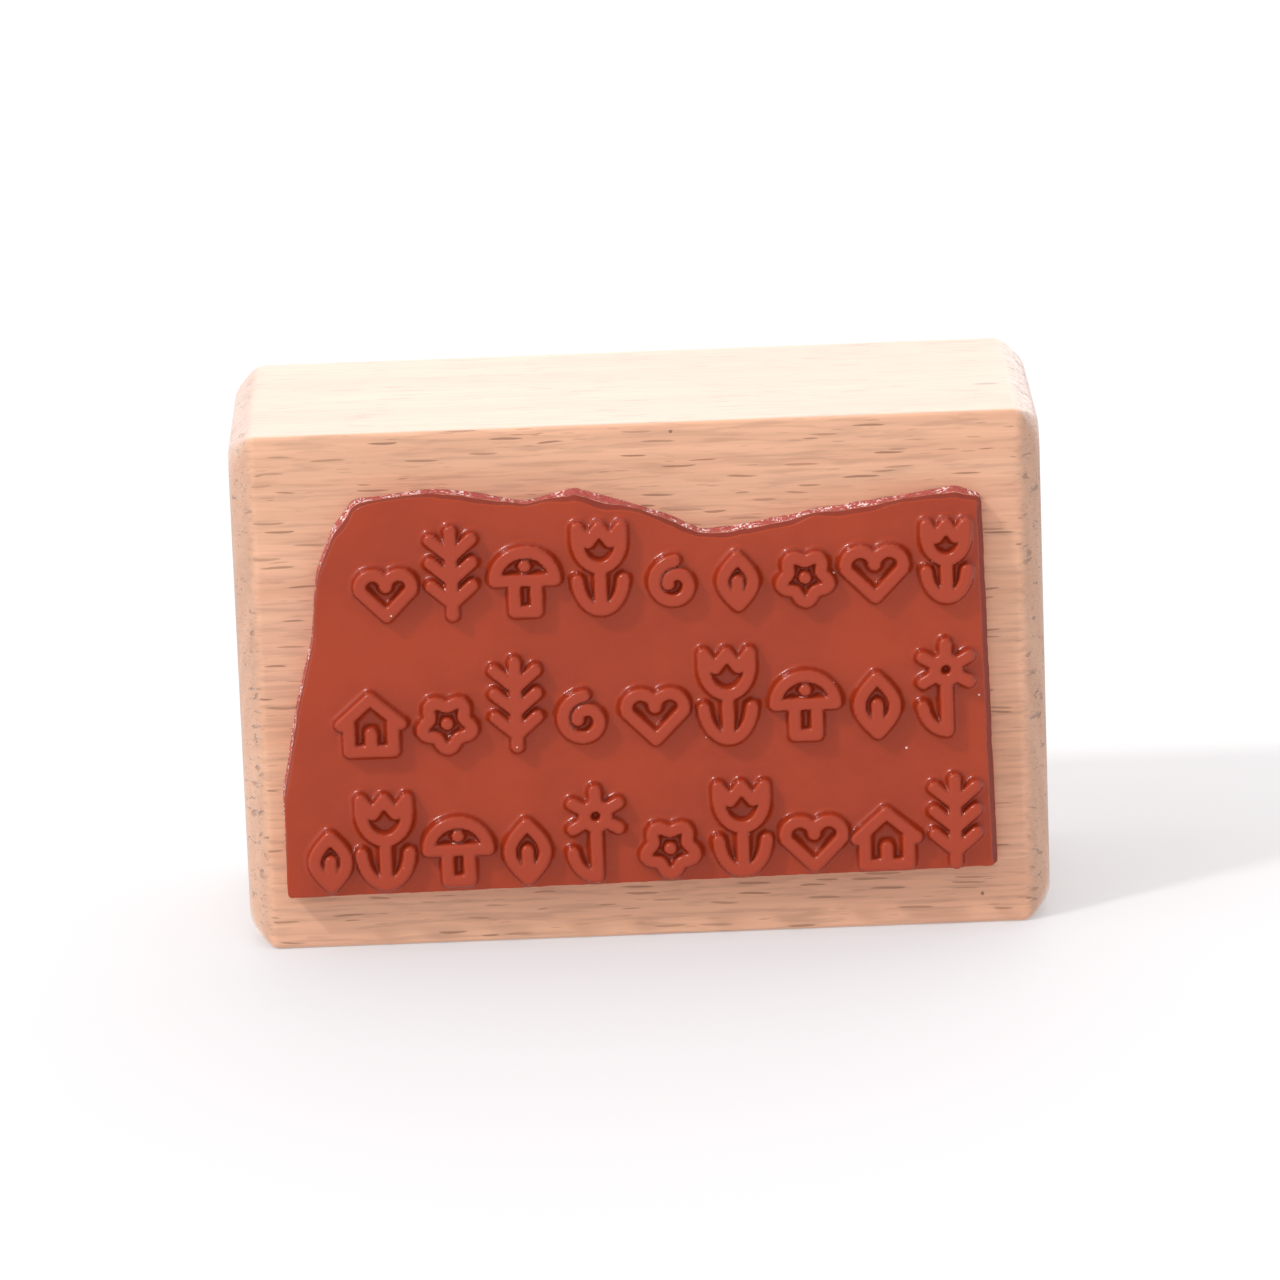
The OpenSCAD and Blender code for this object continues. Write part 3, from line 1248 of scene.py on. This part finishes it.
@dataclass
class Backing:
    """Cushion and adhesive films between the block and the die."""

    outline: CutOutline
    rows: int = 7
    tear: float = 0.16 * MM
    tear_seed: float = 6.0
    crumb_radius: float = 0.055 * MM
    crumbs_per_square_metre: float = 2.6e6
    least_crumb: Triple = (0.35, 0.35, 0.35)
    most_crumb: Triple = (1.25, 1.0, 1.25)
    crumb_seed: int = 7

    def build(self) -> None:
        """Builds, dresses and places the three layers."""
        film = AdhesiveFinish().material()
        for node, name in (("block_adhesive", "film_on_block"), ("die_adhesive", "film_under_die")):
            layer = CutLayer(self.outline, node, name, 1, 0.0).shape()
            layer.data.materials.append(film)
            settle(layer, "adhesive", node)
        foam = CutLayer(self.outline, "cushion", "foam_cushion", self.rows, self.tear, self.tear_seed)
        cushion = foam.shape()
        self.crumble(cushion, CushionFinish().material())
        settle(cushion, "cushion", "cushion")

    def crumble(self, cushion: bpy.types.Object, material: bpy.types.Material) -> None:
        """Strews rubber crumbs over the cut wall of the cushion.

        Args:
            cushion: The cushion, whose mesh is replaced.
            material: The cushion's finish, which the crumbs share.
        """
        grower = Grower.begin("cut_wall_crumbs")
        base = grower.base()
        radius = grower.amount("Crumb Radius", self.crumb_radius)
        density = grower.amount("Crumbs per Square Metre", self.crumbs_per_square_metre)
        seed = grower.named("Seed", "NodeSocketInt", self.crumb_seed)
        normal = grower.out("GeometryNodeInputNormal", 0)
        split = grower.node("ShaderNodeSeparateXYZ", None, {0: normal})
        on_wall = grower.out(
            "FunctionNodeCompare", 0, {"data_type": "FLOAT", "operation": "LESS_THAN"},
            {"A": abs(Value(grower, split.outputs[1])), "B": 0.7},
        )
        points = grower.out(
            "GeometryNodeDistributePointsOnFaces", "Points", None,
            {"Mesh": base, "Selection": on_wall, "Density": density, "Seed": seed},
        )
        crumb = grower.out(
            "GeometryNodeMeshIcoSphere", "Mesh", None, {"Radius": radius, "Subdivisions": 1}
        )
        size = grower.out(
            "FunctionNodeRandomValue", "Value", {"data_type": "FLOAT_VECTOR"},
            {"Min": self.least_crumb, "Max": self.most_crumb, "Seed": seed},
        )
        strewn = grower.out(
            "GeometryNodeInstanceOnPoints", 0, None,
            {"Points": points, "Instance": crumb, "Scale": size},
        )
        joined = grower.node("GeometryNodeJoinGeometry", None, {0: base})
        grower.nodes.links.new(strewn.socket, joined.inputs[0])
        grower.grow(cushion, Value(grower, joined.outputs[0]), material)


@dataclass
class RubberDie:
    """The moulded sheet with the artwork standing up from it."""

    outline: CutOutline
    node: str = "rubber_die"
    rim: float = 0.22 * MM
    shoulder: float = 0.62 * MM
    swell: float = 2.4 * MM
    rim_share: float = 0.58
    shoulder_share: float = 0.36
    swell_share: float = 0.06
    rolled_edge: float = 0.05 * MM
    wall_rows: int = 5
    nick: float = 0.03 * MM
    nick_cells: float = 3000.0
    lift_at_edge: float = 0.25

    def __post_init__(self) -> None:
        """Reads the die's depth from the frame."""
        self.back = self.outline.sheet_back
        self.face = self.outline.face
        self.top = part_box(self.node)[0][1]

    def artwork(self) -> bpy.types.Object:
        """Lays the printed artwork flat in the plane y = 0.

        Returns:
            The artwork as one mesh.
        """
        points: list[Triple] = []
        faces: list[Face] = []
        for node in INDEX_ROWS:
            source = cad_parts[node]
            first = len(points)
            points += [tuple(source.matrix_world @ v.co) for v in source.data.vertices]
            broad = [face for face in source.data.polygons if abs(face.normal.y) > 0.9]
            faces += [tuple(first + i for i in face.vertices) for face in broad]
        flat = np.array(points) * np.array([1.0, 0.0, 1.0])
        return made_piece("flat_artwork", flat, faces)

    def grid(self) -> tuple[np.ndarray, list[Face], list[int]]:
        """Spreads a net of even cells over the face of the sheet.

        Returns:
            The net's (x, z) points, its faces, and the numbers of its rim in order.
        """
        wide, tall = self.outline.steps
        ring = self.outline.inset(self.face)
        bottom, right = ring[: wide + 1], ring[wide: wide + tall + 1]
        top = ring[wide + tall: 2 * wide + tall + 1][::-1]
        left = np.vstack([ring[2 * wide + tall:], ring[:1]])[::-1]
        u = np.linspace(0, 1, wide + 1)[:, None, None]
        v = np.linspace(0, 1, tall + 1)[None, :, None]
        net = (1 - v) * bottom[:, None] + v * top[:, None] + (1 - u) * left[None] + u * right[None]
        corners = (1 - u) * (1 - v) * ring[0] + u * (1 - v) * ring[wide]
        net = net - corners - u * v * ring[wide + tall] - (1 - u) * v * ring[2 * wide + tall]

        def number(i: int, j: int) -> int:
            """Number of the point in column i and row j."""
            return i * (tall + 1) + j

        faces = [
            (number(i, j), number(i + 1, j), number(i + 1, j + 1), number(i, j + 1))
            for i in range(wide) for j in range(tall)
        ]
        rim = [number(i, 0) for i in range(wide)] + [number(wide, j) for j in range(tall)]
        rim += [number(i, tall) for i in range(wide, 0, -1)]
        rim += [number(0, j) for j in range(tall, 0, -1)]
        return net.reshape(-1, 2), faces, rim

    def wall_ring(self, row: int) -> np.ndarray:
        """One ring of the sheet's cut wall, nicked between its two ends.

        Args:
            row: Its number, counted from the face.

        Returns:
            Its points.
        """
        y = self.face + (self.back - self.face) * row / self.wall_rows
        ring = self.outline.inset(y)
        if row < self.wall_rows:
            cuts = np.array([wobble(x + y, z - y, self.nick_cells, 2.0) for x, z in ring]) * self.nick
            ring = ring - outward(ring) * np.abs(cuts)[:, None]
        return flattened(ring, y)

    def sheet_mesh(self) -> bpy.types.Object:
        """Builds the closed sheet with a flat face.

        Returns:
            The sheet, with the share of the relief that each point takes in "on_face".
        """
        net, faces, rim = self.grid()
        points = [flattened(net, self.face)]
        points[0][rim, 1] += self.rolled_edge
        count, total, previous = len(rim), len(net), rim
        sharp = {tuple(sorted((rim[i], rim[(i + 1) % count]))) for i in range(count)}
        for row in range(1, self.wall_rows + 1):
            points.append(self.wall_ring(row))
            here = [total + i for i in range(count)]
            faces += [
                (here[i], here[(i + 1) % count], previous[(i + 1) % count], previous[i])
                for i in range(count)
            ]
            total, previous = total + count, here
        sharp |= ring_edges(previous[0], count)
        faces.append(tuple(reversed(previous)))
        die = made_piece("rubber_die_relief", np.vstack(points), faces, sharp)
        lifted = np.zeros(total)
        lifted[: len(net)] = 1.0
        lifted[rim] = self.lift_at_edge
        die.data.attributes.new("on_face", "FLOAT", "POINT").data.foreach_set("value", lifted)
        return die

    def raise_relief(self, die: bpy.types.Object, material: bpy.types.Material) -> None:
        """Raises the artwork from the sheet, with rolled rims and sloping shoulders.

        Args:
            die: The flat sheet, whose mesh is replaced.
            material: The rubber.
        """
        artwork = self.artwork()
        grower = Grower.begin("moulded_relief")
        base = grower.base()
        drawn = grower.named("Artwork", "NodeSocketObject", artwork)
        height = grower.amount("Relief Height", self.face - self.top)
        rim = grower.amount("Rim Width", self.rim)
        shoulder = grower.amount("Shoulder Width", self.shoulder)
        swell = grower.amount("Swell Width", self.swell)
        shapes = grower.out("GeometryNodeObjectInfo", "Geometry", None, {"Object": drawn})
        place = grower.out("GeometryNodeInputPosition", 0)
        split = grower.node("ShaderNodeSeparateXYZ", None, {0: place})
        flat = grower.out("ShaderNodeCombineXYZ", 0, None, {0: split.outputs[0], 2: split.outputs[2]})
        away = grower.out(
            "GeometryNodeProximity", "Distance", {"target_element": "FACES"},
            {"Target": shapes, "Source Position": flat},
        )
        steep = self._falling(grower, away, rim) * self.rim_share
        gentle = self._falling(grower, away, shoulder) * self.shoulder_share
        low = self._falling(grower, away, swell) * self.swell_share
        on_face = grower.out(
            "GeometryNodeInputNamedAttribute", 0, {"data_type": "FLOAT"}, {"Name": "on_face"}
        )
        lift = (steep + gentle + low) * height * on_face
        offset = grower.out("ShaderNodeCombineXYZ", 0, None, {1: lift * -1.0})
        moved = {"Geometry": base, "Offset": offset}
        grower.grow(die, grower.out("GeometryNodeSetPosition", 0, None, moved), material)
        bpy.data.objects.remove(artwork)

    @staticmethod
    def _falling(grower: Grower, away: Value, width: Value) -> Value:
        """Adds a slope that is 1 on a drawn line and falls smoothly to 0.

        Args:
            grower: The tree that it is added to.
            away: Distance from the line.
            width: The distance at which it reaches 0.

        Returns:
            The slope's height.
        """
        step = grower.node(
            "ShaderNodeMapRange", {"interpolation_type": "SMOOTHSTEP"},
            {"Value": away, "From Min": 0.0, "From Max": width, "To Min": 1.0, "To Max": 0.0},
        )
        return Value(grower, step.outputs["Result"])

    def build(self) -> None:
        """Builds, dresses and places the die."""
        die = self.sheet_mesh()
        self.raise_relief(die, RubberFinish(self.face, self.top).material())
        settle(die, "die_rubber", self.node)


@dataclass
class IndexPrint:
    """The rows of ink on the index face."""

    step: float = 0.13 * MM
    least_steps: int = 10
    bleed: float = 0.07 * MM
    seed: float = 21.0

    def creep(self, x: float, z: float, seed: float) -> float:
        """How far the ink has run at a place. It changes too slowly for an edge to cross itself."""
        return self.bleed * (0.6 * wobble(x, z, 800.0, seed) + 0.8 * wobble(x * 0.5, z, 2600.0, seed))

    def feathered(self, outline: np.ndarray) -> np.ndarray:
        """Cuts an outline into even steps and lets the ink creep along the fibres.

        Args:
            outline: The closed outline as drawn.

        Returns:
            The points of the edge of the ink.
        """
        closed = np.vstack([outline, outline[:1]])
        length = np.sum(np.linalg.norm(np.diff(closed, axis=0), axis=1))
        ring = resampled(closed, max(self.least_steps, round(length / self.step)))[:-1]
        moves = [(self.creep(x, z, self.seed), self.creep(x, z, -self.seed)) for x, z in ring]
        return ring + np.array(moves)

    def row(self, node: str) -> bpy.types.Object:
        """Builds one row of ink with feathered edges.

        Args:
            node: The CAD node of that row.

        Returns:
            The row as a thin closed mesh.
        """
        low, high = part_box(node)
        mesh = bmesh.new()
        for island in islands(cad_outlines(node, Facing.INDEX)):
            edges = []
            for outline in island:
                corners = [mesh.verts.new((x, high[1], z)) for x, z in self.feathered(outline)]
                edges += [mesh.edges.new(pair) for pair in zip(corners, corners[1:] + corners[:1])]
            bmesh.ops.triangle_fill(mesh, use_beauty=True, edges=edges, normal=(0.0, 1.0, 0.0))
        grown = bmesh.ops.extrude_face_region(mesh, geom=mesh.faces[:])
        under = [item for item in grown["geom"] if isinstance(item, bmesh.types.BMVert)]
        bmesh.ops.translate(mesh, verts=under, vec=(0.0, low[1] - high[1], 0.0))
        bmesh.ops.recalc_face_normals(mesh, faces=mesh.faces[:])
        data = bpy.data.meshes.new(node + "_ink")
        mesh.to_mesh(data)
        mesh.free()
        piece = bpy.data.objects.new(node + "_ink", data)
        bpy.context.scene.collection.objects.link(piece)
        return piece

    def build(self) -> None:
        """Builds, dresses and places every row."""
        ink = InkFinish().material()
        for node in INDEX_ROWS:
            piece = self.row(node)
            piece.data.materials.append(ink)
            settle(piece, "ink", node)


# ---------------------------------------------------------------------------------------------
# Studio
# ---------------------------------------------------------------------------------------------


def direction(azimuth: float, elevation: float) -> Vector:
    """Finds the way from the stamp to a place in the studio.

    Args:
        azimuth: Degrees round the stamp from the printing face, minus to the left.
        elevation: Degrees above the floor.

    Returns:
        The way, one metre long.
    """
    turn, lift = math.radians(azimuth), math.radians(elevation)
    return Vector((math.sin(turn) * math.cos(lift), -math.cos(turn) * math.cos(lift), math.sin(lift)))


@dataclass(frozen=True)
class Lamp:
    """A distant soft light, which looks as many degrees wide from the stamp as its spread."""

    name: str
    azimuth: float
    elevation: float
    spread: float
    strength: float

    def hang(self) -> None:
        """Adds the light."""
        light = bpy.data.lights.new(self.name, "SUN")
        light.angle = math.radians(self.spread)
        light.energy = self.strength
        lamp = bpy.data.objects.new(self.name, light)
        away = direction(self.azimuth, self.elevation)
        lamp.rotation_euler = (-away).to_track_quat("-Z", "Y").to_euler()
        bpy.context.scene.collection.objects.link(lamp)


@dataclass
class Studio:
    """White sweep, soft light and the camera."""

    aim: Vector
    azimuth: float = -0.3
    elevation: float = 15.0
    roll: float = 2.1
    distance: float = 0.7315
    lens: float = 233.0
    nearest: float = 0.01
    floor_reach: float = 6.0
    room: float = 0.93
    room_colour: Colour = (1.0, 0.995, 1.0)
    lamps: tuple[Lamp, ...] = (
        Lamp("left_softbox", -72.0, 44.0, 55.0, 0.65),
        Lamp("left_window", -56.0, 46.0, 6.0, 1.3),
        Lamp("top_softbox", 165.0, 58.0, 60.0, 0.60),
        Lamp("back_softbox", 172.0, 24.0, 50.0, 0.65),
    )

    def build_floor(self) -> None:
        """Lays the white sweep."""
        corners = np.array([(-1, -1, 0), (1, -1, 0), (1, 1, 0), (-1, 1, 0)]) * self.floor_reach
        floor = made_piece("white_sweep", corners, [(0, 1, 2, 3)])
        floor.data.materials.append(PaperFinish().material())

    def build_lights(self) -> None:
        """Lights the stamp from the left and from behind, in a bright white room."""
        world = bpy.data.worlds.new("white_room")
        bpy.context.scene.world = world
        world.use_nodes = True
        background = world.node_tree.nodes["Background"]
        background.inputs["Color"].default_value = (*self.room_colour, 1.0)
        background.inputs["Strength"].default_value = self.room
        for lamp in self.lamps:
            lamp.hang()

    def build_camera(self) -> None:
        """Stands the camera nearly square to the printing face, a little above it."""
        away = direction(self.azimuth, self.elevation)
        data = bpy.data.cameras.new("camera")
        data.lens = self.lens
        data.clip_start = self.nearest
        data.dof.use_dof = False
        camera = bpy.data.objects.new("camera", data)
        look = (-away).to_track_quat("-Z", "Y").to_matrix().to_4x4()
        roll = Matrix.Rotation(math.radians(-self.roll), 4, "Z")
        camera.matrix_world = Matrix.Translation(self.aim + away * self.distance) @ look @ roll
        bpy.context.scene.collection.objects.link(camera)
        bpy.context.scene.camera = camera

    def build(self) -> None:
        """Builds the floor, the lights and the camera."""
        self.build_floor()
        self.build_lights()
        self.build_camera()
        bpy.context.scene.view_settings.view_transform = "Standard"


def main() -> None:
    """Builds the stamp and its studio."""
    logging.basicConfig(level=logging.INFO, format="%(name)s: %(message)s")
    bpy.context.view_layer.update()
    block = WoodBlock()
    Studio(block.middle.copy()).build()
    block.build()
    outline = CutOutline()
    Backing(outline).build()
    RubberDie(outline).build()
    IndexPrint().build()


if __name__ == "__main__":
    main()
